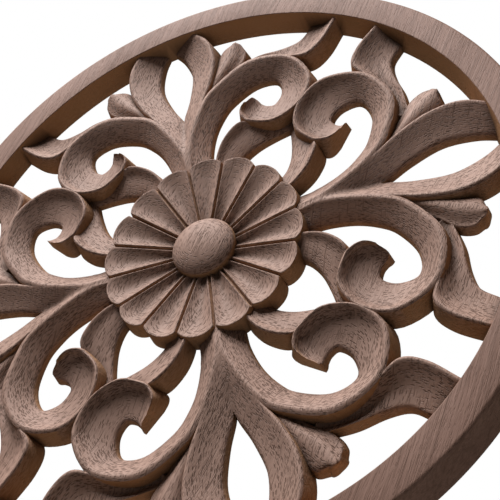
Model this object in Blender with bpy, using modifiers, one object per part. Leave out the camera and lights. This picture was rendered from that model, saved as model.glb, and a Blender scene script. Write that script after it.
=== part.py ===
"""Round pierced carved applique: a plain ring, a sixteen-petalled rosette and four scrolled leaf sprays."""

import math

import bmesh
import bpy
import numpy as np

# Sizes in metres. The front looks along -Y, the flat back lies in the plane y = 0 and +Z is up.
RING_RADIUS = 0.150
BOARD = 0.012
RING_INNER = 0.9054 * RING_RADIUS
RING_ROUND = 0.0018
RING_ROUND_MIDDLE = 0.35 * RING_ROUND
DRAFT = 0.19
OUTER_DRAFT = 0.34
RING_SIDES = 80
QUARTERS = 4

# The rosette: petals dished towards a low dome. A turn runs from one groove of a petal, -1, to the
# other, 1, and a share from its root, 0, to its tip, 1.
PETALS = 16
PETAL_TIP = 0.3065 * RING_RADIUS
PETAL_NOTCH = 0.286 * RING_RADIUS
PETAL_ROOT = 0.070 * RING_RADIUS
PETAL_TURNS = (-1.0, -0.88, -0.45, 0.0, 0.45, 0.88)
PETAL_SHARES = (0.0, 0.5, 0.86, 1.0)
PETAL_ROUNDNESS = 2.4
ROSETTE_DRAFT = 0.25
TIP_HEIGHT = 0.0094
ROOT_HEIGHT = 0.0042
SCOOP = 0.0021
SCOOP_END = 0.60
SCOOP_FADE = 2.2
GROOVE = 0.0019
RIM_TURN = 0.88
DOME_RADIUS = 0.097 * RING_RADIUS
DOME_BASE = 0.0030
DOME_TOP = 0.0105
DOME_SINK = 0.001
DOME_SIDES = 32
DOME_ARCS = 6

# A spray is laid out in parts of the ring's radius: x runs across its stem, y out from the centre.
# A station holds the crest edge (x, y), the low edge (x, y) and the heights of crest, middle and
# low edge as parts of the board. The volute's stations add how wide the crest's outer flank is,
# in parts of the radius, and how far it falls, in parts of the board.
VOLUTE = (
    (-0.004, 0.270, 0.066, 0.280, 0.72, 0.57, 0.26, 0.010, 0.03),
    (-0.004, 0.370, 0.071, 0.365, 0.72, 0.54, 0.23, 0.014, 0.05),
    (0.014, 0.465, 0.094, 0.443, 0.73, 0.49, 0.22, 0.030, 0.20),
    (0.066, 0.560, 0.128, 0.502, 0.76, 0.44, 0.22, 0.026, 0.16),
    (0.135, 0.614, 0.166, 0.550, 0.80, 0.41, 0.23, 0.012, 0.10),
    (0.268, 0.667, 0.262, 0.588, 0.84, 0.42, 0.24, 0.006, 0.075),
    (0.403, 0.612, 0.335, 0.568, 0.86, 0.42, 0.25, 0.006, 0.075),
    (0.451, 0.487, 0.344, 0.508, 0.86, 0.44, 0.28, 0.006, 0.075),
    (0.398, 0.392, 0.311, 0.472, 0.86, 0.42, 0.30, 0.006, 0.075),
    (0.303, 0.356, 0.286, 0.478, 0.86, 0.40, 0.30, 0.006, 0.075),
    (0.226, 0.392, 0.270, 0.489, 0.85, 0.42, 0.33, 0.006, 0.075),
    (0.201, 0.440, 0.262, 0.503, 0.80, 0.48, 0.42, 0.006, 0.075),
    (0.213, 0.477, 0.254, 0.510, 0.70, 0.58, 0.54, 0.006, 0.075),
)
BACK_LEAF = (
    (0.222, 0.648, 0.232, 0.694, 0.42, 0.40, 0.48),
    (0.310, 0.645, 0.306, 0.697, 0.52, 0.42, 0.54),
    (0.388, 0.610, 0.380, 0.690, 0.78, 0.50, 0.46),
    (0.457, 0.580, 0.440, 0.697, 0.87, 0.52, 0.40),
    (0.520, 0.613, 0.480, 0.731, 0.88, 0.52, 0.34),
    (0.585, 0.690, 0.530, 0.785, 0.86, 0.52, 0.32),
)
CENTRE_LEAF = (
    (0.036, 0.450, -0.006, 0.430, 0.62, 0.52, 0.46),
    (0.085, 0.550, 0.002, 0.550, 0.68, 0.50, 0.43),
    (0.128, 0.640, 0.037, 0.645, 0.73, 0.50, 0.38),
    (0.158, 0.740, 0.060, 0.745, 0.80, 0.52, 0.34),
    (0.149, 0.838, 0.042, 0.838, 0.87, 0.55, 0.30),
    (0.094, 0.925, 0.008, 0.905, 0.86, 0.55, 0.26),
)
BUD = (
    (0.140, 0.605, 0.104, 0.625, 0.44, 0.58, 0.40),
    (0.192, 0.657, 0.134, 0.690, 0.44, 0.66, 0.38),
    (0.244, 0.702, 0.157, 0.750, 0.42, 0.68, 0.38),
    (0.262, 0.742, 0.180, 0.786, 0.46, 0.68, 0.42),
    (0.251, 0.776, 0.218, 0.794, 0.58, 0.67, 0.56),
)
FOOT_LEAF = (
    (0.080, 0.270, 0.140, 0.250, 0.62, 0.46, 0.36),
    (0.100, 0.324, 0.171, 0.289, 0.74, 0.50, 0.32),
    (0.136, 0.372, 0.217, 0.315, 0.84, 0.52, 0.30),
    (0.192, 0.407, 0.270, 0.328, 0.86, 0.48, 0.28),
    (0.250, 0.400, 0.325, 0.334, 0.54, 0.38, 0.26),
    (0.330, 0.385, 0.372, 0.336, 0.46, 0.34, 0.26),
)
# The stem's ridge: distance from the centre, half width, height of ridge and of edges.
STEM = (
    (0.260, 0.030, 0.71, 0.50),
    (0.350, 0.030, 0.71, 0.50),
    (0.420, 0.024, 0.66, 0.48),
    (0.500, 0.012, 0.49, 0.42),
)
SPAN_STEPS = 2
STEM_ROUNDNESS = 1.7
SHOULDER_SHARE = 0.22
SHOULDER_CREST = 0.26
MIDDLE_SHARE = 0.55

# What the modelling itself needs: merging distances and the angle above which an edge stays sharp.
MERGE_TURNED = 0.00001
MERGE_JOINED = 0.000002
SHARP_ANGLE = math.radians(32)


def clear_scene():
    """Remove every object that the scene opened with."""
    for thing in list(bpy.data.objects):
        bpy.data.objects.remove(thing, do_unlink=True)


def new_collection(name):
    """Make a collection under the scene and return it."""
    group = bpy.data.collections.new(name)
    bpy.context.scene.collection.children.link(group)
    return group


def wood():
    """Return the plain finish of the whole piece."""
    finish = bpy.data.materials.new("pinkish brown wood")
    finish.use_nodes = True
    shader = finish.node_tree.nodes["Principled BSDF"]
    shader.inputs["Base Color"].default_value = (0.34, 0.22, 0.17, 1.0)
    shader.inputs["Roughness"].default_value = 0.6
    shader.inputs["Metallic"].default_value = 0.0
    return finish


def turn_outward(data, merge=0.0):
    """Turn a closed mesh's faces outward, after merging points nearer than the distance given."""
    shape = bmesh.new()
    shape.from_mesh(data)
    if merge:
        bmesh.ops.remove_doubles(shape, verts=shape.verts, dist=merge)
    bmesh.ops.recalc_face_normals(shape, faces=shape.faces)
    shape.to_mesh(data)
    shape.free()


def mesh_object(name, verts, faces, collection):
    """Make a mesh object with its faces turned outward."""
    data = bpy.data.meshes.new(name)
    data.from_pydata([tuple(v) for v in verts], [], faces)
    turn_outward(data)
    thing = bpy.data.objects.new(name, data)
    collection.objects.link(thing)
    return thing


def closed_loft(name, loops, collection, centre=None):
    """Skin a row of equal closed loops and cap both ends, the first with a fan round a centre if given."""
    count = len(loops[0])
    verts = [point for loop in loops for point in loop]
    faces = []
    for i in range(len(loops) - 1):
        for k in range(count):
            here = i * count + k
            beside = i * count + (k + 1) % count
            faces.append((here, beside, beside + count, here + count))
    last = (len(loops) - 1) * count
    faces.append(tuple(last + k for k in range(count)))
    if centre is None:
        faces.append(tuple(range(count))[::-1])
    else:
        faces += [(len(verts), (k + 1) % count, k) for k in range(count)]
        verts.append(centre)
    return mesh_object(name, verts, faces, collection)


def applied(thing):
    """Bake an object's modifiers into its mesh."""
    graph = bpy.context.evaluated_depsgraph_get()
    data = bpy.data.meshes.new_from_object(thing.evaluated_get(graph))
    thing.modifiers.clear()
    turn_outward(data, MERGE_JOINED)
    thing.data = data
    return thing


def spun(name, profile, closed, sides, collection):
    """Turn a profile of (radius, depth) points once about the Y axis."""
    data = bpy.data.meshes.new(name)
    count = len(profile)
    edges = [(k, (k + 1) % count) for k in range(count if closed else count - 1)]
    data.from_pydata([(radius, depth, 0.0) for radius, depth in profile], edges, [])
    thing = bpy.data.objects.new(name, data)
    collection.objects.link(thing)
    turn = thing.modifiers.new("turn", "SCREW")
    turn.axis = "Y"
    turn.angle = 2 * math.pi
    turn.steps = sides
    turn.render_steps = sides
    turn.use_merge_vertices = True
    turn.merge_threshold = MERGE_TURNED
    return applied(thing)


def smooth_stations(table, steps):
    """Pass a smooth curve through the rows of a station table, with so many steps to a span."""
    rows = np.array(table, float)
    before = 2 * rows[0] - rows[1]
    after = 2 * rows[-1] - rows[-2]
    rows = np.vstack([before, rows, after])
    out = []
    for i in range(1, len(rows) - 2):
        a, b, c, d = rows[i - 1 : i + 3]
        for t in np.arange(steps) / steps:
            linear = (c - a) * t
            square = (2 * a - 5 * b + 4 * c - d) * t * t
            cube = (3 * b - a - 3 * c + d) * t**3
            out.append(0.5 * (2 * b + linear + square + cube))
    out.append(rows[-2])
    return np.array(out)


def leaf_section(row):
    """Return one closed cross-section of a leaf: from the crest to the low edge and back below."""
    crest = np.array(row[0:2]) * RING_RADIUS
    low = np.array(row[2:4]) * RING_RADIUS
    high, middle, edge = row[4:7] * BOARD
    width = np.linalg.norm(low - crest)
    across = (low - crest) / width
    face = [(0.0, high), (MIDDLE_SHARE, middle), (1.0, edge)]
    if len(row) > 7:
        flank = row[7] * RING_RADIUS / width
        shoulder = SHOULDER_CREST * high + (1 - SHOULDER_CREST) * middle
        face.insert(1, (SHOULDER_SHARE, shoulder))
        face = [(flank + (1 - flank) * share, height) for share, height in face]
        face.insert(0, (0.0, high - row[8] * BOARD))
    loop = []
    for share, height in face:
        spot = crest + (low - crest) * share
        loop.append((spot[0], -height, spot[1]))
    for below in (low + across * DRAFT * edge, crest - across * DRAFT * high):
        loop.append((below[0], 0.0, below[1]))
    return loop


def stem_section(row):
    """Return one closed cross-section of a stem, rounded over its ridge."""
    out, half, ridge, edge = row
    loop = []
    for share in (-1.0, 0.0, 1.0):
        height = (edge + (ridge - edge) * (1 - abs(share) ** STEM_ROUNDNESS)) * BOARD
        loop.append((share * half * RING_RADIUS, -height, out * RING_RADIUS))
    foot = half * RING_RADIUS + DRAFT * edge * BOARD
    loop.append((foot, 0.0, out * RING_RADIUS))
    loop.append((-foot, 0.0, out * RING_RADIUS))
    return loop


def member(name, table, section, collection):
    """Loft one member of the first spray, which stands above the rosette."""
    rows = smooth_stations(table, SPAN_STEPS)
    return closed_loft(name, [section(row) for row in rows], collection)


def placed(thing, quarter, mirrored, collection):
    """Copy a member of the first spray to another place round the centre, mirrored or not."""
    data = thing.data.copy()
    angle = quarter * 2 * math.pi / QUARTERS
    c, s = math.cos(angle), math.sin(angle)
    for vertex in data.vertices:
        x, y, z = vertex.co
        if mirrored:
            x = -x
        vertex.co = (c * x - s * z, y, s * x + c * z)
    turn_outward(data)
    copy = bpy.data.objects.new(f"{thing.name} {quarter} {int(mirrored)}", data)
    collection.objects.link(copy)


def sprays(sources, members):
    """Loft the members of one spray and lay them out round the centre."""
    tables = {
        "volute": VOLUTE,
        "back leaf": BACK_LEAF,
        "centre leaf": CENTRE_LEAF,
        "bud": BUD,
        "foot leaf": FOOT_LEAF,
    }
    for name, table in tables.items():
        leaf = member(name, table, leaf_section, sources)
        for quarter in range(QUARTERS):
            placed(leaf, quarter, False, members)
            placed(leaf, quarter, True, members)
    stem = member("stem", STEM, stem_section, sources)
    for quarter in range(QUARTERS):
        placed(stem, quarter, False, members)


def ring(collection):
    """Turn the ring, rounded along its outer edge."""
    profile = [
        (RING_INNER - DRAFT * BOARD, 0.0),
        (RING_RADIUS + OUTER_DRAFT * BOARD, 0.0),
        (RING_RADIUS, -(BOARD - RING_ROUND)),
        (RING_RADIUS - RING_ROUND_MIDDLE, -(BOARD - RING_ROUND_MIDDLE)),
        (RING_RADIUS - RING_ROUND, -BOARD),
        (RING_INNER, -BOARD),
    ]
    return spun("ring", profile, True, RING_SIDES, collection)


def petal_height(share, turn):
    """Height of a petal's face at a share of its length and a turn across it."""
    base = ROOT_HEIGHT + (TIP_HEIGHT - ROOT_HEIGHT) * share
    side = abs(turn)
    if side > RIM_TURN:
        return base - GROOVE * (side - RIM_TURN) / (1 - RIM_TURN)
    bowl = 1 - (side / RIM_TURN) ** 2
    fade = 1 - max(0.0, (share - SCOOP_END) / (1 - SCOOP_END)) ** SCOOP_FADE
    return base - SCOOP * bowl * fade


def rosette(collection):
    """Lay the petals out round the centre as one closed body."""
    around = [(petal, turn) for petal in range(PETALS) for turn in PETAL_TURNS]
    loops = []
    for share in PETAL_SHARES:
        loop = []
        for petal, turn in around:
            angle = (petal + 0.5 + 0.5 * turn) * 2 * math.pi / PETALS
            edge = PETAL_NOTCH + (PETAL_TIP - PETAL_NOTCH) * (1 - abs(turn) ** PETAL_ROUNDNESS)
            radius = PETAL_ROOT + (edge - PETAL_ROOT) * share
            loop.append((radius * math.sin(angle), -petal_height(share, turn), radius * math.cos(angle)))
        loops.append(loop)
    foot = []
    for x, y, z in loops[-1]:
        grown = 1 - ROSETTE_DRAFT * y / math.hypot(x, z)
        foot.append((x * grown, 0.0, z * grown))
    loops.append(foot)
    return closed_loft("rosette", loops, collection, centre=(0.0, -ROOT_HEIGHT, 0.0))


def dome(collection):
    """Turn the rosette's domed centre, top to bottom."""
    rise = DOME_TOP - DOME_BASE
    profile = []
    for k in range(DOME_ARCS + 1):
        angle = math.pi / 2 * k / DOME_ARCS
        profile.append((DOME_RADIUS * math.sin(angle), -(DOME_BASE + rise * math.cos(angle))))
    profile.append((DOME_RADIUS, -DOME_SINK))
    profile.append((0.0, -DOME_SINK))
    return spun("dome", profile, False, DOME_SIDES, collection)


def joined(base, members):
    """Join every carved member to the ring."""
    union = base.modifiers.new("join", "BOOLEAN")
    union.operation = "UNION"
    union.operand_type = "COLLECTION"
    union.collection = members
    union.solver = "EXACT"
    return applied(base)


def hide(collection):
    """Keep helper objects out of renders."""
    collection.hide_render = True
    for thing in collection.objects:
        thing.hide_render = True
        thing.display_type = "WIRE"


def build():
    """Build the applique as one solid."""
    clear_scene()
    group = new_collection("carved wooden applique")
    members = new_collection("members to join")
    sources = new_collection("first spray")
    sprays(sources, members)
    rosette(members)
    dome(members)
    body = ring(group)
    body.name = "carved_applique"
    joined(body, members)
    body.data.materials.clear()
    body.data.materials.append(wood())
    body.data.shade_smooth()
    body.data.set_sharp_from_angle(angle=SHARP_ANGLE)
    hide(members)
    hide(sources)


build()
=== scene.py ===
"""Looks of a round pierced carved applique: a ring, a petalled rosette and four scrolled leaf sprays."""

from __future__ import annotations

import logging
import math
from dataclasses import dataclass, field
from enum import Enum

import bmesh
import bpy
import numpy as np
from mathutils import Matrix, Vector
from mathutils.bvhtree import BVHTree

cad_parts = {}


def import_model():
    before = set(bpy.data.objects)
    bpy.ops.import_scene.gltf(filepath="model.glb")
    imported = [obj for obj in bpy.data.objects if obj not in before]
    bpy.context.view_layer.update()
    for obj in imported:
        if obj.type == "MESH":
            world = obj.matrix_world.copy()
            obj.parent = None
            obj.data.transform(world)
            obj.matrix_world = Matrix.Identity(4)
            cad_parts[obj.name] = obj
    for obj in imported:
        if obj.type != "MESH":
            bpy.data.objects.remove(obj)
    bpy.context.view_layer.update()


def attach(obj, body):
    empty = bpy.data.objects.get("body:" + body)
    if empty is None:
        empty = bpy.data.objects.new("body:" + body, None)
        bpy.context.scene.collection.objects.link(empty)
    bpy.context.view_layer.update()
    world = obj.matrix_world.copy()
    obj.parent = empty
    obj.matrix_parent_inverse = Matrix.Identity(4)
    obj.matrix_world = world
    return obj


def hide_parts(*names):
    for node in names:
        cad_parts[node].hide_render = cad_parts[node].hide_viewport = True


logging.basicConfig(level=logging.INFO, format="%(message)s")
LOG = logging.getLogger("carved applique")

# Shared sizes in metres. The front looks along -Y and the flat back lies in the plane y = 0.
# The draft is how far a wall leans out for each metre of its height.
RADIUS = 0.150
BOARD = 0.012
DRAFT = 0.19
QUARTERS = 4
TINY = 1e-9
Row = tuple[float, ...]
Triple = tuple[float, float, float]
Colour = tuple[float, float, float, float]

# Columns of a leaf's rows: two points in plan, three heights, then the flank's width, fall and shoulder.
# A station gives at least the first seven.
CREST, LOW, HEIGHTS = slice(0, 2), slice(2, 4), slice(4, 7)
HIGH, MIDDLE, EDGE, FLANK, FALL, SHOULDER = range(4, 10)
NEEDED = 7


class Hand(Enum):
    """Which side of its stem a carved leaf lies on."""

    RIGHT = 1
    LEFT = -1


class Section(Enum):
    """The form of a leaf between its two edges."""

    HOLLOW = "hollow"
    ROOF = "roof"


class Cut(Enum):
    """How an end of a leaf is finished."""

    SQUARE = "square"
    ROUNDED = "rounded"


def smooth_rows(table: tuple[Row, ...], steps: int) -> np.ndarray:
    """Pass a smooth curve through the rows of a station table.

    Args:
        table: The stations, one row of numbers each.
        steps: How many rows the curve takes from one station to the next.

    Returns:
        The rows along the curve, ends included.
    """
    rows = np.array(table, float)
    rows = np.vstack([2 * rows[0] - rows[1], rows, 2 * rows[-1] - rows[-2]])
    out = []
    for i in range(1, len(rows) - 2):
        a, b, c, d = rows[i - 1 : i + 3]
        for t in np.arange(steps) / steps:
            linear = (c - a) * t
            square = (2 * a - 5 * b + 4 * c - d) * t * t
            cube = (3 * b - a - 3 * c + d) * t**3
            out.append(0.5 * (2 * b + linear + square + cube))
    out.append(rows[-2])
    return np.array(out)


def rounding(distance: np.ndarray, radius: np.ndarray | float) -> np.ndarray:
    """Give how far a quarter-round edge lies below its face.

    Args:
        distance: Distance from the edge in plan.
        radius: Radius of the round.

    Returns:
        The drop below the face, nothing beyond the radius.
    """
    inside = np.clip(1 - distance / radius, 0, 1)
    return radius * (1 - np.sqrt(np.clip(1 - inside**2, 0, 1)))


def soft_path(shares: np.ndarray, knots: list[tuple[float, np.ndarray]]) -> np.ndarray:
    """Pass a smooth monotone curve through a few knots, for many rows at once.

    Args:
        shares: Where to read the curve.
        knots: Pairs of place and height, the height being one number to a row.

    Returns:
        The heights, one row for each row and one column for each share.
    """
    x = np.array([knot[0] for knot in knots])
    y = np.array([knot[1] for knot in knots])
    step = np.diff(x)[:, None]
    slope = np.diff(y, axis=0) / step
    inner = np.where(
        slope[:-1] * slope[1:] > 0,
        2 * slope[:-1] * slope[1:] / np.where(slope[:-1] + slope[1:] == 0, 1, slope[:-1] + slope[1:]),
        0,
    )
    # The curve leaves the crest nearly level and runs out freely at the low edge.
    tangent = np.vstack([0.2 * slope[:1], inner, 1.5 * slope[-1:] - 0.5 * inner[-1:]])
    out = np.empty((y.shape[1], len(shares)))
    for column, share in enumerate(shares):
        i = int(np.clip(np.searchsorted(x, share) - 1, 0, len(x) - 2))
        h = x[i + 1] - x[i]
        t = (share - x[i]) / h
        out[:, column] = (
            y[i] * (1 + 2 * t) * (1 - t) ** 2
            + h * tangent[i] * t * (1 - t) ** 2
            + y[i + 1] * t * t * (3 - 2 * t)
            + h * tangent[i + 1] * t * t * (t - 1)
        )
    return out


def skinned(name: str, loops: np.ndarray, around: bool = False) -> bpy.types.Object:
    """Skin a row of closed loops into one closed body.

    Args:
        name: The object's name.
        loops: Points as an array of loops by points by three.
        around: True if the last loop meets the first, so that there are no caps.

    Returns:
        The object, with its faces turned outward.
    """
    count, size = loops.shape[:2]
    faces = []
    for i in range(count if around else count - 1):
        here, there = i * size, (i + 1) % count * size
        faces += [
            (here + k, here + (k + 1) % size, there + (k + 1) % size, there + k) for k in range(size)
        ]
    if not around:
        faces.append(tuple(range(size))[::-1])
        faces.append(tuple((count - 1) * size + k for k in range(size)))
    return mesh_object(name, loops.reshape(-1, 3), faces)


def mesh_object(name: str, points: np.ndarray, faces: list[tuple[int, ...]]) -> bpy.types.Object:
    """Make a mesh object whose faces are turned outward.

    Args:
        name: The object's name.
        points: The vertices.
        faces: The faces, as tuples of vertex numbers.

    Returns:
        The object, linked to the scene.
    """
    data = bpy.data.meshes.new(name)
    data.from_pydata([tuple(point) for point in points], [], faces)
    turn_outward(data)
    thing = bpy.data.objects.new(name, data)
    bpy.context.scene.collection.objects.link(thing)
    return thing


def turn_outward(data: bpy.types.Mesh) -> None:
    """Turn the faces of a closed mesh outward."""
    shape = bmesh.new()
    shape.from_mesh(data)
    bmesh.ops.recalc_face_normals(shape, faces=shape.faces)
    shape.to_mesh(data)
    shape.free()


def placed(thing: bpy.types.Object, quarter: int, hand: Hand) -> bpy.types.Object:
    """Copy a member of the first spray to its place round the centre.

    Args:
        thing: The member as it stands right of the upper stem.
        quarter: How many quarter turns it is moved.
        hand: The side of the stem.

    Returns:
        The copy.
    """
    data = thing.data.copy()
    angle = quarter * math.tau / QUARTERS
    turn = Matrix.Rotation(-angle, 4, "Y") @ Matrix.Diagonal((hand.value, 1, 1, 1))
    data.transform(turn)
    turn_outward(data)
    copy = bpy.data.objects.new(f"{thing.name} {quarter} {hand.name.lower()}", data)
    bpy.context.scene.collection.objects.link(copy)
    return copy


@dataclass
class Leaf:
    """A leaf or scroll: a ridge along one edge, a hollow beside it and a low edge.

    A station holds the crest edge (x, y), the low edge (x, y) in parts of the radius, and the heights of
    crest, middle and low edge in parts of the board. Up to three more numbers give how wide the outer flank
    of the crest is, how far it falls and how full the shoulder is, where they aren't the leaf's own.
    """

    name: str
    stations: tuple[Row, ...]
    steps: int = 6
    shoulder: float = 0.36
    flank: float = 0.006
    fall: float = 0.075
    lip: float = 0.0012
    lip_fall: float = 0.0007
    start: Cut = Cut.SQUARE
    end: Cut = Cut.ROUNDED
    end_reach: float = 1.0
    end_flare: float = 1.0
    flare_rows: int = 20
    flare_swing: float = 0.78 * math.pi
    section: Section = Section.HOLLOW
    cap_steps: int = 5
    cap_turn: float = math.radians(86)
    cap_level: float = 0.6
    flank_limit: float = 0.45
    lip_limit: float = 0.30
    upper_place: float = 0.22
    middle_place: float = 0.55
    roof_places: tuple[float, float] = (0.44, 0.56)
    roof_slope: float = 0.1
    flank_shares: Row = (0, 0.2, 0.4, 0.6, 0.8)
    crest_shares: Row = (0, 0.03, 0.07, 0.12, 0.18)
    bowl_shares: tuple[float, float, int] = (0.25, 0.85, 8)
    edge_shares: Row = (0.91, 0.95, 0.98, 1)

    def rows(self) -> np.ndarray:
        """Return the smoothed stations, with a rounded end where one is asked for."""
        usual = (self.flank, self.fall, self.shoulder)
        full = [(*row, *usual[len(row) - NEEDED :]) for row in self.stations]
        rows = smooth_rows(tuple(full), self.steps)
        if self.end is Cut.ROUNDED:
            rows = np.vstack([rows, self.cap(rows[-1], rows[-2])])
        if self.start is Cut.ROUNDED:
            rows = np.vstack([self.cap(rows[0], rows[1])[::-1], rows])
        return rows

    def cap(self, last: np.ndarray, before: np.ndarray) -> np.ndarray:
        """Round an end off in plan.

        Args:
            last: The end row.
            before: Its neighbour, which gives the way out.

        Returns:
            The rows beyond the end.
        """
        crest, low = last[CREST], last[LOW]
        half = (low - crest) / 2
        middle = (low + crest) / 2
        out = np.array([-half[1], half[0]])
        if out @ (middle - (before[CREST] + before[LOW]) / 2) < 0:
            out = -out
        rows = []
        for k in range(1, self.cap_steps + 1):
            angle = self.cap_turn * k / self.cap_steps
            spot = middle + out * math.sin(angle) * self.end_reach
            part = half * math.cos(angle)
            level = (last[HEIGHTS].mean() - last[HEIGHTS]) * (1 - math.cos(angle)) * self.cap_level
            rows.append(np.concatenate([spot - part, spot + part, last[HEIGHTS] + level, last[FLANK:]]))
        return np.array(rows)

    def knots(self, rows: np.ndarray) -> list[tuple[float, np.ndarray]]:
        """Give the heights that the face of each row passes through.

        Args:
            rows: The rows of the leaf.

        Returns:
            Pairs of place across the leaf and height, for a soft path.
        """
        high, middle, edge = (rows[:, column] * BOARD for column in (HIGH, MIDDLE, EDGE))
        if self.section is Section.ROOF:
            rise, drop = self.roof_places
            ridge = (1 - self.roof_slope) * middle
            return [
                (0.0, high),
                (rise, self.roof_slope * high + ridge),
                (drop, self.roof_slope * edge + ridge),
                (1.0, edge),
            ]
        upper = rows[:, SHOULDER] * high + (1 - rows[:, SHOULDER]) * middle
        return [(0.0, high), (self.upper_place, upper), (self.middle_place, middle), (1.0, edge)]

    def feet(self, rows: np.ndarray, across: np.ndarray) -> np.ndarray:
        """Place the two foot points of each row, where its walls meet the back.

        Args:
            rows: The rows of the leaf.
            across: The unit vectors from crest to low edge.

        Returns:
            Points as an array of rows by two by three.
        """
        share = np.clip(1 - np.arange(len(rows))[::-1] / self.flare_rows, 0, 1)
        flare = 1 + (self.end_flare - 1) * np.sin(self.flare_swing * share)
        high, edge = rows[:, HIGH] * BOARD, rows[:, EDGE] * BOARD
        feet = []
        for spot, grow in ((rows[:, LOW] * RADIUS, edge), (rows[:, CREST] * RADIUS, -high * flare)):
            below = spot + across * (DRAFT * grow)[:, None]
            feet.append(np.stack([below[:, 0], 0 * grow, below[:, 1]], axis=1))
        return np.stack(feet, axis=1)

    def loops(self) -> np.ndarray:
        """Return the closed cross-sections along the leaf."""
        rows = self.rows()
        crest, low = rows[:, CREST] * RADIUS, rows[:, LOW] * RADIUS
        width = np.linalg.norm(low - crest, axis=1)[:, None]
        flank = np.minimum(rows[:, [FLANK]] * RADIUS / np.maximum(width, TINY), self.flank_limit)
        inner = np.concatenate([self.crest_shares, np.linspace(*self.bowl_shares), self.edge_shares])
        outer = np.array(self.flank_shares)
        shares = np.hstack([flank * outer, flank + (1 - flank) * inner])
        high, fall = rows[:, [HIGH]] * BOARD, rows[:, [FALL]] * BOARD
        height = np.hstack([high - fall * (1 - outer) ** 2, soft_path(inner, self.knots(rows))])
        lip = np.minimum(self.lip, self.lip_limit * width)
        height = height - self.lip_fall * np.clip(1 - (1 - shares) * width / lip, 0, 1) ** 2
        spots = crest[:, None] + (low - crest)[:, None] * shares[..., None]
        face = np.stack([spots[..., 0], -height, spots[..., 1]], axis=2)
        across = (low - crest) / np.maximum(width, TINY)
        return np.concatenate([face, self.feet(rows, across)], axis=1)

    def build(self) -> bpy.types.Object:
        """Build the leaf right of the upper stem."""
        return skinned(self.name, self.loops())


@dataclass
class Stem:
    """The ridge that leaves the rosette and forks into the scrolls.

    A station holds the distance from the centre, the half width, and the heights of ridge and edges.
    """

    stations: tuple[Row, ...] = (
        (0.260, 0.030, 0.52, 0.40),
        (0.310, 0.030, 0.67, 0.46),
        (0.370, 0.030, 0.72, 0.50),
        (0.430, 0.024, 0.64, 0.46),
        (0.490, 0.008, 0.40, 0.38),
    )
    steps: int = 5
    across: int = 9
    crown: float = 1.7

    def build(self) -> bpy.types.Object:
        """Build the upper stem."""
        rows = smooth_rows(self.stations, self.steps)
        shares = np.linspace(-1, 1, self.across)
        loops = []
        for out, half, ridge, edge in rows:
            height = (edge + (ridge - edge) * (1 - np.abs(shares) ** self.crown)) * BOARD
            loop = [(share * half * RADIUS, -tall, out * RADIUS) for share, tall in zip(shares, height)]
            foot = half * RADIUS + DRAFT * edge * BOARD
            loop += [(foot, 0.0, out * RADIUS), (-foot, 0.0, out * RADIUS)]
            loops.append(loop)
        return skinned("stem", np.array(loops))


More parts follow.
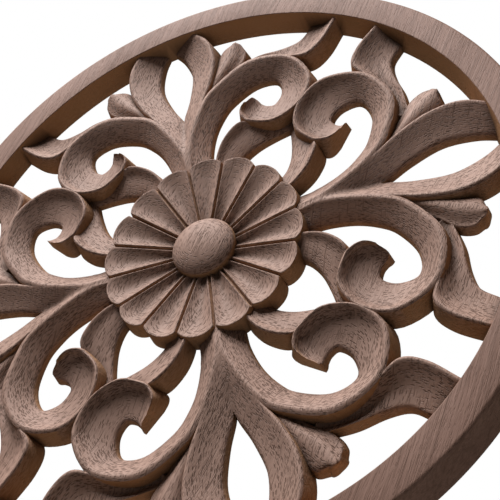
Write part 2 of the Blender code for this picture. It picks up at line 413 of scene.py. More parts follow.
@dataclass
class Spray:
    """One of four sprays: a stem, and on either side of it a volute and four leaves."""

    volute: Leaf = field(default_factory=lambda: Leaf("volute", (
        (-0.004, 0.260, 0.066, 0.270, 0.52, 0.40, 0.26, 0.012, 0.03, 0.50),
        (-0.004, 0.310, 0.067, 0.312, 0.66, 0.44, 0.24, 0.012, 0.03, 0.50),
        (0.000, 0.375, 0.072, 0.370, 0.76, 0.46, 0.18, 0.012, 0.05, 0.52),
        (0.030, 0.464, 0.094, 0.443, 0.80, 0.47, 0.18, 0.012, 0.08, 0.52),
        (0.078, 0.558, 0.128, 0.502, 0.81, 0.48, 0.20, 0.013, 0.08, 0.56),
        (0.137, 0.616, 0.174, 0.549, 0.80, 0.51, 0.23, 0.014, 0.07, 0.66),
        (0.268, 0.667, 0.262, 0.586, 0.84, 0.56, 0.24, 0.014, 0.06, 0.70),
        (0.403, 0.612, 0.335, 0.568, 0.86, 0.52, 0.25, 0.012, 0.06, 0.62),
        (0.451, 0.487, 0.341, 0.508, 0.86, 0.46, 0.28, 0.009, 0.06, 0.42),
        (0.398, 0.392, 0.312, 0.469, 0.86, 0.42, 0.30, 0.006, 0.06, 0.30),
        (0.303, 0.356, 0.286, 0.474, 0.86, 0.40, 0.30, 0.006, 0.06),
        (0.226, 0.392, 0.270, 0.489, 0.86, 0.42, 0.33, 0.006, 0.06),
        (0.2055, 0.420, 0.265, 0.498, 0.86, 0.46, 0.38, 0.006, 0.06),
        (0.200, 0.446, 0.261, 0.504, 0.85, 0.52, 0.44, 0.006, 0.06),
        (0.206, 0.466, 0.256, 0.508, 0.83, 0.60, 0.52, 0.006, 0.06),
        (0.217, 0.482, 0.252, 0.510, 0.79, 0.68, 0.60, 0.006, 0.06),
    ), shoulder=0.26, end=Cut.SQUARE, end_flare=2.3))
    back_leaf: Leaf = field(default_factory=lambda: Leaf("back leaf", (
        (0.222, 0.648, 0.232, 0.694, 0.42, 0.34, 0.46),
        (0.310, 0.645, 0.306, 0.697, 0.52, 0.36, 0.52),
        (0.388, 0.610, 0.380, 0.690, 0.78, 0.44, 0.44),
        (0.457, 0.580, 0.440, 0.697, 0.87, 0.46, 0.38),
        (0.520, 0.613, 0.480, 0.731, 0.88, 0.46, 0.32),
        (0.585, 0.690, 0.530, 0.785, 0.86, 0.46, 0.30),
    ), shoulder=0.50, flank=0.008, start=Cut.ROUNDED, end=Cut.SQUARE))
    centre_leaf: Leaf = field(default_factory=lambda: Leaf("centre leaf", (
        (0.018, 0.415, -0.006, 0.415, 0.70, 0.66, 0.58, 0.004, 0.03),
        (0.044, 0.485, -0.006, 0.485, 0.73, 0.54, 0.34, 0.004, 0.03),
        (0.085, 0.565, 0.004, 0.562, 0.75, 0.50, 0.28, 0.004, 0.03),
        (0.128, 0.640, 0.037, 0.645, 0.77, 0.50, 0.32),
        (0.158, 0.740, 0.060, 0.745, 0.80, 0.52, 0.34),
        (0.149, 0.838, 0.042, 0.838, 0.87, 0.55, 0.30),
        (0.094, 0.925, 0.008, 0.905, 0.86, 0.55, 0.26),
    ), shoulder=0.62, flank=0.009, end=Cut.SQUARE))
    bud: Leaf = field(default_factory=lambda: Leaf("bud", (
        (0.140, 0.605, 0.104, 0.625, 0.44, 0.58, 0.40),
        (0.192, 0.657, 0.134, 0.690, 0.44, 0.66, 0.38),
        (0.244, 0.702, 0.157, 0.750, 0.42, 0.68, 0.38),
        (0.262, 0.742, 0.180, 0.786, 0.46, 0.68, 0.42),
        (0.253, 0.772, 0.218, 0.791, 0.58, 0.67, 0.56),
    ), section=Section.ROOF, fall=0.05, end_reach=0.5))
    foot_leaf: Leaf = field(default_factory=lambda: Leaf("foot leaf", (
        (0.080, 0.270, 0.140, 0.250, 0.62, 0.46, 0.36),
        (0.100, 0.324, 0.171, 0.289, 0.74, 0.50, 0.32),
        (0.136, 0.372, 0.217, 0.315, 0.84, 0.52, 0.30),
        (0.192, 0.407, 0.270, 0.328, 0.86, 0.48, 0.28),
        (0.250, 0.400, 0.325, 0.334, 0.54, 0.38, 0.26),
        (0.330, 0.385, 0.372, 0.336, 0.46, 0.34, 0.26),
    ), end=Cut.SQUARE))
    stem: Stem = field(default_factory=Stem)

    def build(self) -> list[bpy.types.Object]:
        """Build every member of the four sprays.

        Returns:
            The closed members, which overlap where they meet.
        """
        members = []
        for leaf in (self.volute, self.back_leaf, self.centre_leaf, self.bud, self.foot_leaf):
            first = leaf.build()
            members += [placed(first, quarter, hand) for quarter in range(QUARTERS) for hand in Hand]
            bpy.data.objects.remove(first, do_unlink=True)
        first = self.stem.build()
        members += [placed(first, quarter, Hand.RIGHT) for quarter in range(QUARTERS)]
        bpy.data.objects.remove(first, do_unlink=True)
        return members


@dataclass
class Ring:
    """The plain ring round the carving."""

    inner: float = 0.9054 * RADIUS
    outer_draft: float = 0.34
    outer_round: float = 0.0018
    inner_round: float = 0.0005
    sides: int = 256
    arc_steps: int = 6

    def profile(self) -> np.ndarray:
        """Return the ring's section as radius and depth."""
        spots = [(self.inner - DRAFT * BOARD, 0.0), (RADIUS + self.outer_draft * BOARD, 0.0)]
        angles = np.radians(np.linspace(0, 90, self.arc_steps))
        for radius, face, side in ((self.outer_round, RADIUS, 1), (self.inner_round, self.inner, -1)):
            outs = face - side * radius * (1 - np.cos(angles))
            arc = list(zip(outs, radius * (1 - np.sin(angles)) - BOARD))
            spots += arc if side > 0 else arc[::-1]
        return np.array(spots)

    def build(self) -> bpy.types.Object:
        """Turn the profile round the centre."""
        profile = self.profile()
        angles = np.arange(self.sides) * math.tau / self.sides
        radius, depth = profile[:, 0], profile[:, 1]
        loops = np.stack(
            [
                np.outer(np.sin(angles), radius),
                np.tile(depth, (self.sides, 1)),
                np.outer(np.cos(angles), radius),
            ],
            axis=2,
        )
        return skinned("ring", loops, around=True)


@dataclass
class Rosette:
    """Sixteen dished petals round a low dome.

    A petal is measured along its length from root 0 to tip 1, and across from groove -1 to groove 1. The
    dome's profile begins a few degrees from its pole.
    """

    petals: int = 16
    tip: float = 0.316 * RADIUS
    notch: float = 0.295 * RADIUS
    root: float = 0.070 * RADIUS
    draft: float = 0.12
    tip_height: float = 0.0094
    root_height: float = 0.0042
    scoop: float = 0.0021
    scoop_start: float = 0.16
    scoop_end: float = 0.66
    groove: float = 0.0020
    groove_half: float = 0.00070
    rim_round: float = 0.00035
    tip_round: float = 0.0006
    tip_power: float = 2.4
    fade_power: float = 2.2
    groove_power: float = 0.7
    groove_places: Row = (0.0, 0.25, 0.6, 0.9)
    rim_places: Row = (0.1, 0.5, 1.0)
    across: int = 24
    along: int = 22
    tip_rows: int = 8
    tip_share: float = 0.1
    tip_first: float = 0.85
    tip_crowding: float = 1.5
    dome_radius: float = 0.100 * RADIUS
    dome_base: float = 0.0052
    dome_top: float = 0.0116
    dome_sink: float = 0.001
    dome_sides: int = 96
    dome_steps: int = 16
    dome_start: float = 3.0

    def edge(self, turn: np.ndarray) -> np.ndarray:
        """Return the radius of a petal's edge, for turns from groove -1 to groove 1."""
        return self.notch + (self.tip - self.notch) * (1 - np.abs(turn) ** self.tip_power)

    def height(self, out: float, turn: np.ndarray, radius: np.ndarray) -> np.ndarray:
        """Give the height of a petal's face.

        Args:
            out: Place along the petal, from root 0 to tip 1.
            turn: Place across it, from groove -1 to groove 1.
            radius: Distance from the rosette's centre.

        Returns:
            The height above the back.
        """
        base = self.root_height + (self.tip_height - self.root_height) * out
        half = radius * math.pi / self.petals
        beside = (1 - np.abs(turn)) * half
        bowl = np.clip(1 - (np.abs(turn) / self.rim(radius)) ** 2, 0, 1)
        fade = 1 - max(0.0, (out - self.scoop_end) / (1 - self.scoop_end)) ** self.fade_power
        fade *= min(1.0, out / self.scoop_start)
        ditch = np.clip(1 - beside / self.groove_half, 0, 1) ** self.groove_power
        rim = rounding(np.maximum(beside - self.groove_half, 0), self.rim_round)
        rim *= beside > self.groove_half
        tip = rounding(self.edge(turn) - radius, self.tip_round)
        return base - self.scoop * bowl * fade - np.maximum(self.groove * ditch, rim) - tip

    def rim(self, radius: np.ndarray | float) -> np.ndarray | float:
        """Return the turn at which the rim beside a groove begins."""
        return 1 - (self.groove_half + self.rim_round) / (radius * math.pi / self.petals)

    def columns(self, out: float) -> np.ndarray:
        """Return the turns at which a petal is measured, crowded towards its grooves.

        Args:
            out: Place along the petal, from root 0 to tip 1.

        Returns:
            The turns, from groove -1 up to the next groove.
        """
        radius = self.root + (self.notch - self.root) * out
        half = radius * math.pi / self.petals
        steep = 1 - self.groove_half * np.array(self.groove_places) / half
        round_off = 1 - (self.groove_half + self.rim_round * np.array(self.rim_places)) / half
        inner = np.linspace(0, self.rim(radius), self.across // 2)[:-1]
        side = np.concatenate([inner, round_off[::-1], steep[:0:-1]])
        return np.concatenate([[-1.0], -side[:0:-1], side])

    def build_petals(self) -> bpy.types.Object:
        """Lay the petals out round the centre as one closed body."""
        face = np.linspace(0, 1 - self.tip_share, self.along - self.tip_rows)
        tip = 1 - self.tip_share * np.linspace(self.tip_first, 0, self.tip_rows) ** self.tip_crowding
        loops = []
        for out in np.concatenate([face, tip]):
            columns = self.columns(out)
            turn = np.tile(columns, self.petals)
            petal = np.repeat(np.arange(self.petals), len(columns))
            angle = (petal + 0.5 + 0.5 * turn) * math.tau / self.petals
            radius = self.root + (self.edge(turn) - self.root) * out
            height = self.height(out, turn, radius)
            loops.append(np.stack([radius * np.sin(angle), -height, radius * np.cos(angle)], axis=1))
        radius = np.hypot(loops[-1][:, 0], loops[-1][:, 2])
        grown = 1 - self.draft * loops[-1][:, 1] / radius
        foot = loops[-1] * np.stack([grown, 0 * grown, grown], axis=1)
        loops.append(foot)
        return skinned("petals", np.array(loops))

    def build_dome(self) -> bpy.types.Object:
        """Turn the domed centre from its profile."""
        angles = np.radians(np.linspace(self.dome_start, 90, self.dome_steps))
        rise = self.dome_top - self.dome_base
        profile = [(self.dome_radius * math.sin(a), -(self.dome_base + rise * math.cos(a))) for a in angles]
        profile.append((self.dome_radius, -self.dome_sink))
        turns = np.arange(self.dome_sides) * math.tau / self.dome_sides
        loops = [
            np.stack([r * np.sin(turns), np.full(len(turns), depth), r * np.cos(turns)], axis=1)
            for r, depth in profile
        ]
        return skinned("dome", np.array(loops))

    def build(self) -> list[bpy.types.Object]:
        """Build the petals and the dome."""
        return [self.build_petals(), self.build_dome()]


@dataclass(frozen=True)
class Marks:
    """One sort of pore mark, measured along the grain, into the wood and across the grain.

    The edge says between which shares of its half size a mark fades out.
    """

    cell: Triple
    half: Triple
    kept: float
    edge: tuple[float, float] = (0.5, 1.1)


class Net:
    """Adds and links the nodes of one material."""

    def __init__(self, tree: bpy.types.NodeTree) -> None:
        """Keep the tree that the nodes go into."""
        self.tree = tree

    def add(self, kind: str, **settings: object) -> bpy.types.Node:
        """Add a node.

        Args:
            kind: The node's type name.
            settings: Properties to set on it.

        Returns:
            The node.
        """
        node = self.tree.nodes.new(kind)
        for name, value in settings.items():
            setattr(node, name, value)
        return node

    def feed(self, socket: bpy.types.NodeSocket, value: object) -> None:
        """Link an output to a socket, or set the socket to a plain value."""
        if isinstance(value, bpy.types.NodeSocket):
            self.tree.links.new(value, socket)
        else:
            socket.default_value = value

    def maths(self, operation: str, first: object, second: object = 0.0, clamp: bool = False) -> object:
        """Combine two values.

        Args:
            operation: The Math node's operation.
            first: The first value or output.
            second: The second value or output.
            clamp: True to keep the result between 0 and 1.

        Returns:
            The node's output.
        """
        node = self.add("ShaderNodeMath", operation=operation, use_clamp=clamp)
        self.feed(node.inputs[0], first)
        self.feed(node.inputs[1], second)
        return node.outputs[0]

    def remap(self, value: object, low: float, high: float) -> object:
        """Spread a value so that low becomes 0 and high becomes 1, with soft ends.

        Args:
            value: The output to read.
            low: What becomes 0.
            high: What becomes 1.

        Returns:
            The node's output.
        """
        node = self.add("ShaderNodeMapRange", interpolation_type="SMOOTHSTEP")
        self.feed(node.inputs["Value"], value)
        node.inputs["From Min"].default_value = low
        node.inputs["From Max"].default_value = high
        return node.outputs["Result"]

    def falling(self, value: object, low: float, high: float) -> object:
        """Spread a value so that low becomes 1 and high becomes 0, with soft ends."""
        return self.maths("SUBTRACT", 1.0, self.remap(value, low, high))

    def blend(self, share: object, first: object, second: object) -> object:
        """Mix two colours.

        Args:
            share: How much of the second.
            first: The first colour or output.
            second: The second colour or output.

        Returns:
            The colour output.
        """
        node = self.add("ShaderNodeMix", data_type="RGBA", blend_type="MIX")
        self.feed(node.inputs["Factor"], share)
        self.feed(node.inputs[6], first)
        self.feed(node.inputs[7], second)
        return node.outputs[2]

    def stretched(self, vector: object, scale: Triple) -> object:
        """Scale a place vector by one number to an axis.

        Args:
            vector: The place.
            scale: The three numbers.

        Returns:
            The vector output.
        """
        node = self.add("ShaderNodeVectorMath", operation="MULTIPLY")
        self.feed(node.inputs[0], vector)
        node.inputs[1].default_value = scale
        return node.outputs[0]

    def dashes(self, place: object, marks: Marks, steep: object | None = None) -> object:
        """Scatter short straight marks along the grain, one at most to a cell.

        Args:
            place: The place, with the grain along X, the depth along Y and the surface along Z.
            marks: The sort of mark.
            steep: A value that the depth of the marks is multiplied by.

        Returns:
            The value output, 1 inside a mark and 0 outside.
        """
        solid = self.stretched(place, tuple(1 / side for side in marks.cell))
        cells = self.add("ShaderNodeTexVoronoi", voronoi_dimensions="3D", feature="F1")
        self.feed(cells.inputs["Vector"], solid)
        cells.inputs["Scale"].default_value = 1.0
        away = self.add("ShaderNodeVectorMath", operation="SUBTRACT")
        self.feed(away.inputs[0], solid)
        self.feed(away.inputs[1], cells.outputs["Position"])
        reach = self.stretched(
            away.outputs[0], tuple(side / half for side, half in zip(marks.cell, marks.half))
        )
        if steep is not None:
            deeper = self.add("ShaderNodeCombineXYZ")
            deeper.inputs["X"].default_value = 1.0
            deeper.inputs["Z"].default_value = 1.0
            self.feed(deeper.inputs["Y"], self.maths("DIVIDE", 1.0, steep))
            scaled = self.add("ShaderNodeVectorMath", operation="MULTIPLY")
            self.feed(scaled.inputs[0], reach)
            self.feed(scaled.inputs[1], deeper.outputs[0])
            reach = scaled.outputs[0]
        length = self.add("ShaderNodeVectorMath", operation="LENGTH")
        self.feed(length.inputs[0], reach)
        mark = self.falling(length.outputs["Value"], *marks.edge)
        luck = self.add("ShaderNodeSeparateColor")
        self.feed(luck.inputs[0], cells.outputs["Color"])
        return self.maths("MULTIPLY", mark, self.maths("LESS_THAN", luck.outputs[0], marks.kept))

    def noise(self, vector: object, detail: float, rough: float = 0.5) -> object:
        """Read a noise texture.

        Args:
            vector: The place, already scaled.
            detail: How many octaves.
            rough: How strong the fine ones are.

        Returns:
            The value output.
        """
        node = self.add("ShaderNodeTexNoise")
        self.feed(node.inputs["Vector"], vector)
        node.inputs["Scale"].default_value = 1.0
        node.inputs["Detail"].default_value = detail
        node.inputs["Roughness"].default_value = rough
        return node.outputs[0]


@dataclass(frozen=True)
class BareWood:
    """Sanded, unfinished pinkish wood with open pores.

    The scales of its noises are in waves to the metre along the grain, into the wood and across the grain.
    Pairs of numbers say where a value begins to count and where it counts in full.
    """

    grain_angle: float = math.radians(57)
    pale: Colour = (0.262, 0.158, 0.124, 1)
    plain: Colour = (0.208, 0.119, 0.090, 1)
    streak: Colour = (0.135, 0.075, 0.054, 1)
    carved: Colour = (0.368, 0.242, 0.193, 1)
    pore: Colour = (0.050, 0.022, 0.011, 1)
    # The next colour is painted warm bounce light on the walls that face sideways, not a colour of the wood.
    warm_bounce_paint: Colour = (0.350, 0.180, 0.080, 1)
    # The next colour is painted shade, laid into the recesses and creases.
    painted_recess_shade: Colour = (0.030, 0.016, 0.009, 1)
    roughness: float = 0.60
    gloss: float = 0.15
    sway_scale: Triple = (9, 22, 22)
    sway_reach: float = 0.010
    broad_scale: Triple = (7, 45, 45)
    broad_span: tuple[float, float] = (0.35, 0.68)
    fibre_scale: Triple = (40, 600, 900)
    fibre_span: tuple[float, float] = (0.42, 0.68)
    fibre_share: float = 0.55
    tooth_scale: Triple = (300, 1200, 1800)
    fine_rough: float = 0.6
    patch_scale: Triple = (90, 90, 160)
    patch_span: tuple[float, float] = (0.25, 0.55)
    short: Marks = Marks((0.0044, 0.0015, 0.00105), (0.0026, 0.0008, 0.00019), 0.85)
    small: Marks = Marks((0.0024, 0.0011, 0.00090), (0.0012, 0.0006, 0.00017), 0.80)
    layers: Marks = Marks((0.0027, 0.00040, 0.0018), (0.0015, 0.00025, 0.0011), 0.88)
    long: Marks = Marks((0.0200, 0.0050, 0.00130), (0.0095, 0.0026, 0.00024), 0.40)
    least_steep: float = 0.06
    level_span: tuple[float, float] = (0.970, 0.996)
    level_loss: float = 0.75
    carved_span: tuple[float, float] = (0.885 * RADIUS, 0.905 * RADIUS)
    carved_share: float = 0.60
    ring_marks: float = 0.28
    ring_lines: float = 0.36
    more_lines: float = 0.30
    pore_share: float = 0.72
    back_span: tuple[float, float] = (0.5, 0.9)
    # The wall span and the next share set where and how strongly the painted warm bounce light lies on the
    # walls.
    wall_span: tuple[float, float] = (0.20, 0.62)
    warm_bounce_share: float = 0.80
    rim_span: tuple[float, float] = (0.965 * RADIUS, 0.990 * RADIUS)
    # How strongly the painted shade is laid into the recesses.
    recess_shade_share: float = 0.85
    fibre_relief: float = 0.60
    tooth_relief: float = 0.35
    pore_relief: float = 0.8
    bump_strength: float = 0.8
    bump_height: float = 0.0003

    def along_grain(self, net: Net, place: object) -> object:
        """Turn a place so that X runs along the grain, which sways a little.

        Args:
            net: The material's nodes.
            place: The place on the object.

        Returns:
            The turned place.
        """
        turn = net.add("ShaderNodeMapping", vector_type="POINT")
        net.feed(turn.inputs["Vector"], place)
        turn.inputs["Rotation"].default_value = (0, self.grain_angle, 0)
        sway = net.noise(net.stretched(turn.outputs[0], self.sway_scale), 1.0)
        bend = net.add("ShaderNodeCombineXYZ")
        net.feed(bend.inputs["Z"], net.maths("MULTIPLY", net.maths("SUBTRACT", sway, 0.5), self.sway_reach))
        bent = net.add("ShaderNodeVectorMath", operation="ADD")
        net.feed(bent.inputs[0], turn.outputs[0])
        net.feed(bent.inputs[1], bend.outputs[0])
        return bent.outputs[0]

    def pores(self, net: Net, grain: object, facing: object, carving: object) -> object:
        """Scatter the pores: dashes on level wood, thin layers on slopes, and long lines everywhere.

        Args:
            net: The material's nodes.
            grain: The place along the grain.
            facing: How squarely the surface faces forward.
            carving: 1 on the carving and 0 on the ring and the back.

        Returns:
            The value output, 1 in a pore and 0 outside.
        """
        steep = net.maths("SQRT", net.maths("SUBTRACT", 1.0, net.maths("MULTIPLY", facing, facing)))
        steep = net.maths("MAXIMUM", steep, self.least_steep)
        tilt = net.falling(net.maths("ABSOLUTE", facing), *self.level_span)
        level = net.maths("SUBTRACT", 1.0, net.maths("MULTIPLY", tilt, self.level_loss))
        dashes = net.maths("MAXIMUM", net.dashes(grain, self.short), net.dashes(grain, self.small))
        layers = net.maths("MULTIPLY", net.dashes(grain, self.layers, steep), tilt)
        dense = net.maths("MAXIMUM", net.maths("MULTIPLY", dashes, level), layers)
        patch = net.remap(net.noise(net.stretched(grain, self.patch_scale), 1.0), *self.patch_span)
        even = net.maths("ADD", net.maths("MULTIPLY", patch, 0.5), 0.5)
        share = net.maths("MULTIPLY", carving, 1 - self.ring_marks)
        share = net.maths("ADD", share, self.ring_marks, clamp=True)
        dense = net.maths("MULTIPLY", dense, net.maths("MULTIPLY", even, share))
        lines = net.maths("ADD", net.maths("MULTIPLY", carving, self.more_lines), self.ring_lines)
        lines = net.maths("MULTIPLY", net.dashes(grain, self.long), lines)
        return net.maths("MAXIMUM", dense, lines, clamp=True)

    def roughened(self, net: Net, grain: object, fibre: object, pores: object) -> object:
        """Raise the fibres and sink the pores.

        Args:
            net: The material's nodes.
            grain: The place along the grain.
            fibre: The fibres.
            pores: The pores.

        Returns:
            The normal output.
        """
        tooth = net.noise(net.stretched(grain, self.tooth_scale), 2.0, self.fine_rough)
        raised = net.maths("MULTIPLY", fibre, self.fibre_relief)
        raised = net.maths("ADD", raised, net.maths("MULTIPLY", tooth, self.tooth_relief))
        bump = net.add("ShaderNodeBump")
        bump.inputs["Strength"].default_value = self.bump_strength
        bump.inputs["Distance"].default_value = self.bump_height
        sunk = net.maths("SUBTRACT", raised, net.maths("MULTIPLY", pores, self.pore_relief))
        net.feed(bump.inputs["Height"], sunk)
        return bump.outputs[0]

    def material(self) -> bpy.types.Material:
        """Build the finish: the board, its pores, painted warm bounce light on the walls between the leaves,
        and painted shade in the recesses.

        Returns:
            The material.
        """
        finish = bpy.data.materials.new("bare pinkish wood")
        finish.use_nodes = True
        net = Net(finish.node_tree)
        shader = finish.node_tree.nodes["Principled BSDF"]
        place = net.add("ShaderNodeTexCoord").outputs["Object"]
        grain = self.along_grain(net, place)
        normal = net.add("ShaderNodeSeparateXYZ")
        net.feed(normal.inputs[0], net.add("ShaderNodeNewGeometry").outputs["Normal"])
        facing = net.maths("MULTIPLY", normal.outputs["Y"], -1.0)
        front = net.falling(normal.outputs["Y"], *self.back_span)
        out = net.add("ShaderNodeVectorMath", operation="LENGTH")
        net.feed(out.inputs[0], net.stretched(place, (1, 0, 1)))
        carving = net.maths("MULTIPLY", net.falling(out.outputs["Value"], *self.carved_span), front)

        broad = net.noise(net.stretched(grain, self.broad_scale), 2.0)
        fibre = net.noise(net.stretched(grain, self.fibre_scale), 2.0, self.fine_rough)
        pores = self.pores(net, grain, facing, carving)
        colour = net.blend(net.remap(broad, *self.broad_span), self.plain, self.pale)
        streaks = net.maths("MULTIPLY", net.remap(fibre, *self.fibre_span), self.fibre_share)
        colour = net.blend(streaks, colour, self.streak)
        colour = net.blend(net.maths("MULTIPLY", carving, self.carved_share), colour, self.carved)
        colour = net.blend(net.maths("MULTIPLY", pores, self.pore_share), colour, self.pore)

        # Painted warm bounce light on the walls that face sideways, kept off the outer rim.
        wall = net.maths("MULTIPLY", net.falling(facing, *self.wall_span), front)
        wall = net.maths("MULTIPLY", wall, net.falling(out.outputs["Value"], *self.rim_span))
        colour = net.blend(net.maths("MULTIPLY", wall, self.warm_bounce_share), colour, self.warm_bounce_paint)
        # Painted shade in the recesses and creases, from the recess depth marked on the mesh.
        recess = net.add("ShaderNodeAttribute", attribute_name="recess").outputs["Fac"]
        recess = net.maths("MULTIPLY", recess, front)
        colour = net.blend(net.maths("MULTIPLY", recess, self.recess_shade_share), colour, self.painted_recess_shade)

        net.feed(shader.inputs["Base Color"], colour)
        net.feed(shader.inputs["Normal"], self.roughened(net, grain, fibre, pores))
        shader.inputs["Roughness"].default_value = self.roughness
        shader.inputs["Specular IOR Level"].default_value = self.gloss
        return finish


@dataclass
class Applique:
    """The whole carving, joined into one body.

    Its heights are surveyed on a square grid. The grid blends the members where they fork from the stem, and
    tells how deep each point lies below the wood around it.
    """

    ring: Ring = field(default_factory=Ring)
    rosette: Rosette = field(default_factory=Rosette)
    spray: Spray = field(default_factory=Spray)
    finish: BareWood = field(default_factory=BareWood)
    crease: float = math.radians(34)
    survey_cell: float = 0.0005
    survey_reach: float = 0.0060
    recess_depth: float = 0.0030
    fork_reach: float = 0.0009
    fork_half: float = 0.105 * RADIUS
    fork_start: float = 0.335 * RADIUS
    fork_end: float = 0.600 * RADIUS
    fork_fade: float = 0.035 * RADIUS
    foot_height: float = 0.15 * BOARD
    merge: float = 0.000004
    least_edge: float = 0.000002
    ray_start: float = 0.05
    survey_margin: float = 1.05
    least_height: float = 0.1 * BOARD
    least_share: float = 0.05
    closed_from: float = 0.55
    closed_fade: float = 0.30

    def join(self, body: bpy.types.Object, members: list[bpy.types.Object]) -> None:
        """Join the members to the ring.

        Args:
            body: The ring, which becomes the whole.
            members: The closed members, removed afterwards.
        """
        group = bpy.data.collections.new("members to join")
        bpy.context.scene.collection.children.link(group)
        for member in members:
            bpy.context.scene.collection.objects.unlink(member)
            group.objects.link(member)
        union = body.modifiers.new("join", "BOOLEAN")
        union.operation = "UNION"
        union.operand_type = "COLLECTION"
        union.collection = group
        union.solver = "EXACT"
        graph = bpy.context.evaluated_depsgraph_get()
        data = bpy.data.meshes.new_from_object(body.evaluated_get(graph))
        body.modifiers.clear()
        body.data = data
        for member in members:
            bpy.data.objects.remove(member, do_unlink=True)
        bpy.data.collections.remove(group)

    def clean(self, data: bpy.types.Mesh) -> None:
        """Merge doubled points and drop faces of no area."""
        shape = bmesh.new()
        shape.from_mesh(data)
        bmesh.ops.remove_doubles(shape, verts=shape.verts, dist=self.merge)
        bmesh.ops.dissolve_degenerate(shape, edges=shape.edges, dist=self.least_edge)
        bmesh.ops.recalc_face_normals(shape, faces=shape.faces)
        shape.to_mesh(data)
        shape.free()

    def survey(self, data: bpy.types.Mesh) -> np.ndarray:
        """Measure the height of the carving over a square grid, from one quarter of it.

        Args:
            data: The joined mesh.

        Returns:
            The heights, one row for each x.
        """
        tree = BVHTree.FromPolygons([v.co for v in data.vertices], [p.vertices for p in data.polygons])
        places = (np.arange(self.grid_half()) + 0.5) * self.survey_cell
        quarter = np.zeros((len(places), len(places)))
        for i, x in enumerate(places):
            for k, z in enumerate(places):
                hit = tree.ray_cast(Vector((x, -self.ray_start, z)), Vector((0, 1, 0)))
                if hit[0] is not None:
                    quarter[i, k] = -hit[0].y
        right = np.hstack([quarter[:, ::-1], quarter])
        return np.vstack([right[::-1], right])

    def grid_half(self) -> int:
        """Return how many cells the height grid has on either side of the centre."""
        return math.ceil(self.survey_margin * RADIUS / self.survey_cell)

    def blurred(self, grid: np.ndarray, reach: float) -> np.ndarray:
        """Blur a grid.

        Args:
            grid: The grid.
            reach: The distance over which it is blurred.

        Returns:
            The blurred grid.
        """
        waves = np.fft.fftfreq(len(grid), self.survey_cell)
        blur = np.exp(-2 * (math.pi * reach) ** 2 * (waves[:, None] ** 2 + waves[None, :] ** 2))
        return np.real(np.fft.ifft2(np.fft.fft2(grid) * blur))

    def sampled(self, grid: np.ndarray, points: np.ndarray) -> np.ndarray:
        """Read a grid at given places.

        Args:
            grid: The grid.
            points: The places, one row each.

        Returns:
            One value for each place.
        """
        spot = points[:, [0, 2]] / self.survey_cell + self.grid_half() - 0.5
        low = np.clip(spot.astype(int), 0, len(grid) - 2)
        i, k = low[:, 0], low[:, 1]
        fx, fz = (spot - low).T
        near = grid[i, k] * (1 - fx) + grid[i + 1, k] * fx
        far = grid[i, k + 1] * (1 - fx) + grid[i + 1, k + 1] * fx
        return near * (1 - fz) + far * fz

    def points_of(self, data: bpy.types.Mesh) -> np.ndarray:
        """Return a mesh's points, one row each."""
        points = np.empty(len(data.vertices) * 3)
        data.vertices.foreach_get("co", points)
        return points.reshape(-1, 3)

    def soften(self, data: bpy.types.Mesh, heights: np.ndarray) -> None:
        """Let the members flow into one another where they leave the stem.

        Args:
            data: The joined mesh.
            heights: The height grid.
        """
        points = self.points_of(data)
        places = (np.arange(len(heights)) + 0.5 - self.grid_half()) * self.survey_cell
        outside = np.hypot(places[:, None], places[None, :]) > self.fork_start - self.fork_fade
        wood = (heights > self.least_height) & outside
        share = self.blurred(wood.astype(float), self.fork_reach)
        flow = self.blurred(heights * wood, self.fork_reach) / np.maximum(share, self.least_share)
        side = np.minimum(np.abs(points[:, 0]), np.abs(points[:, 2]))
        out = np.maximum(np.abs(points[:, 0]), np.abs(points[:, 2]))
        weight = (
            np.clip((self.fork_half - side) / self.fork_fade, 0, 1)
            * np.clip((out - self.fork_start) / self.fork_fade, 0, 1)
            * np.clip((self.fork_end - out) / self.fork_fade, 0, 1)
            * (points[:, 1] < -self.foot_height)
        )
        points[:, 1] += weight * (-self.sampled(flow, points) - points[:, 1])
        data.vertices.foreach_set("co", points.ravel())
        data.update()

    def mark_recess(self, data: bpy.types.Mesh, heights: np.ndarray) -> None:
        """Mark how deep each point lies below the carving around it, for the painted shade in the recesses.

        Args:
            data: The joined mesh, which gets an attribute named recess.
            heights: The height grid.
        """
        points = self.points_of(data)
        around = self.sampled(self.blurred(heights, self.survey_reach / 2), points)
        wood = (heights > self.least_height).astype(float)
        solid = self.sampled(self.blurred(wood, self.survey_reach / 2), points)
        recess = np.clip((around + points[:, 1]) / self.recess_depth, 0, 1)
        recess *= np.clip((solid - self.closed_from) / self.closed_fade, 0, 1)
        layer = data.attributes.new("recess", "FLOAT", "POINT")
        layer.data.foreach_set("value", recess.astype(np.float32))

    def build(self) -> bpy.types.Object:
        """Build, join and dress the carving.

        Returns:
            The one visible piece.
        """
        body = self.ring.build()
        self.join(body, self.rosette.build() + self.spray.build())
        self.clean(body.data)
        heights = self.survey(body.data)
        self.soften(body.data, heights)
        self.mark_recess(body.data, heights)
        body.data.shade_smooth()
        body.data.set_sharp_from_angle(angle=self.crease)
        body.data.materials.clear()
        body.data.materials.append(self.finish.material())
        body.name = "carving"
        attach(body, "root")
        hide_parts("carved_applique")
        return body


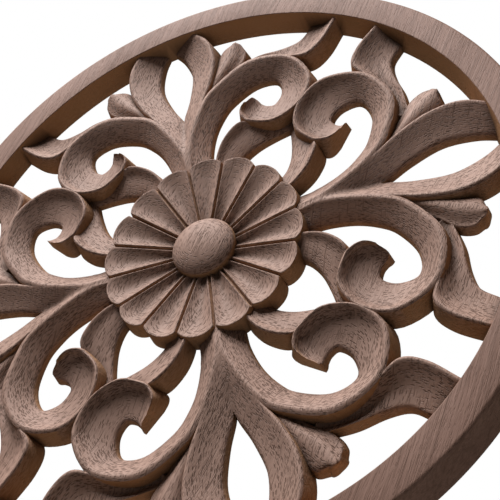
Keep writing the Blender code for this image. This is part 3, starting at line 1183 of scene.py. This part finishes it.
@dataclass
class Studio:
    """Pale floor, soft light from the picture's top, and the camera at the photograph's angle."""

    camera_place: Triple = (0.09896, -0.32023, -0.26835)
    camera_turns: Triple = (129.050, 9.237, 21.439)
    lens: float = 69.33
    sensor: float = 36.0
    nearest: float = 0.01
    floor_level: float = -1.80
    floor_size: float = 8.0
    floor_colour: Colour = (0.8, 0.8, 0.79, 1)
    floor_roughness: float = 0.9
    key_way: Triple = (-0.030, -0.450, 0.893)
    key_distance: float = 1.5
    key_size: float = 1.10
    key_power: float = 58.0
    fill_strength: float = 0.012
    back_strength: float = 0.85
    back_start: float = 0.40
    back_full: float = 1.00
    fill_colour: Colour = (1.0, 0.78, 0.54, 1.0)
    backdrop: Colour = (1, 1, 1, 1)

    def build_camera(self) -> bpy.types.Object:
        """Place the camera."""
        data = bpy.data.cameras.new("camera")
        data.sensor_width = self.sensor
        data.lens = self.lens
        data.clip_start = self.nearest
        camera = bpy.data.objects.new("camera", data)
        camera.location = self.camera_place
        camera.rotation_euler = [math.radians(turn) for turn in self.camera_turns]
        bpy.context.scene.collection.objects.link(camera)
        bpy.context.scene.camera = camera
        bpy.context.view_layer.update()
        return camera

    def build_lights(self) -> None:
        """Hang the key light and fill the room with an even glow."""
        data = bpy.data.lights.new("key", "AREA")
        data.shape = "DISK"
        data.size = self.key_size
        data.energy = self.key_power
        key = bpy.data.objects.new("key", data)
        bpy.context.scene.collection.objects.link(key)
        way = Vector(self.key_way).normalized()
        key.location = way * self.key_distance
        key.rotation_euler = way.to_track_quat("Z", "Y").to_euler()
        room = bpy.data.worlds.new("room")
        bpy.context.scene.world = room
        room.use_nodes = True
        net = Net(room.node_tree)
        glow = room.node_tree.nodes["Background"]
        glow.inputs["Color"].default_value = self.fill_colour
        way = net.add("ShaderNodeSeparateXYZ")
        net.feed(way.inputs[0], net.add("ShaderNodeTexCoord").outputs["Generated"])
        back = net.remap(way.outputs["Y"], self.back_start, self.back_full)
        behind = net.maths("MULTIPLY", back, self.back_strength)
        net.feed(glow.inputs["Strength"], net.maths("ADD", behind, self.fill_strength))
        bright = net.add("ShaderNodeBackground")
        bright.inputs["Color"].default_value = self.backdrop
        seen = net.add("ShaderNodeLightPath").outputs["Is Camera Ray"]
        choice = net.add("ShaderNodeMixShader")
        net.feed(choice.inputs[0], seen)
        net.feed(choice.inputs[1], glow.outputs[0])
        net.feed(choice.inputs[2], bright.outputs[0])
        net.feed(room.node_tree.nodes["World Output"].inputs["Surface"], choice.outputs[0])

    def build_floor(self) -> bpy.types.Object:
        """Lay the pale floor."""
        half = self.floor_size / 2
        corners = [(-half, -half), (half, -half), (half, half), (-half, half)]
        points = np.array([(x, y, self.floor_level) for x, y in corners])
        data = bpy.data.meshes.new("floor")
        data.from_pydata([tuple(p) for p in points], [], [(0, 1, 2, 3)])
        floor = bpy.data.objects.new("floor", data)
        bpy.context.scene.collection.objects.link(floor)
        pale = bpy.data.materials.new("pale floor")
        pale.use_nodes = True
        shader = pale.node_tree.nodes["Principled BSDF"]
        shader.inputs["Base Color"].default_value = self.floor_colour
        shader.inputs["Roughness"].default_value = self.floor_roughness
        data.materials.append(pale)
        return floor

    def build(self) -> None:
        """Set up floor, lights and camera."""
        self.build_floor()
        self.build_lights()
        self.build_camera()
        bpy.context.scene.view_settings.view_transform = "Standard"


def main() -> None:
    """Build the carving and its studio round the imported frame."""
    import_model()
    studio = Studio()
    studio.build()
    LOG.info("studio set up")
    carving = Applique().build()
    LOG.info("%s: %d faces", carving.name, len(carving.data.polygons))


if __name__ == "__main__":
    main()
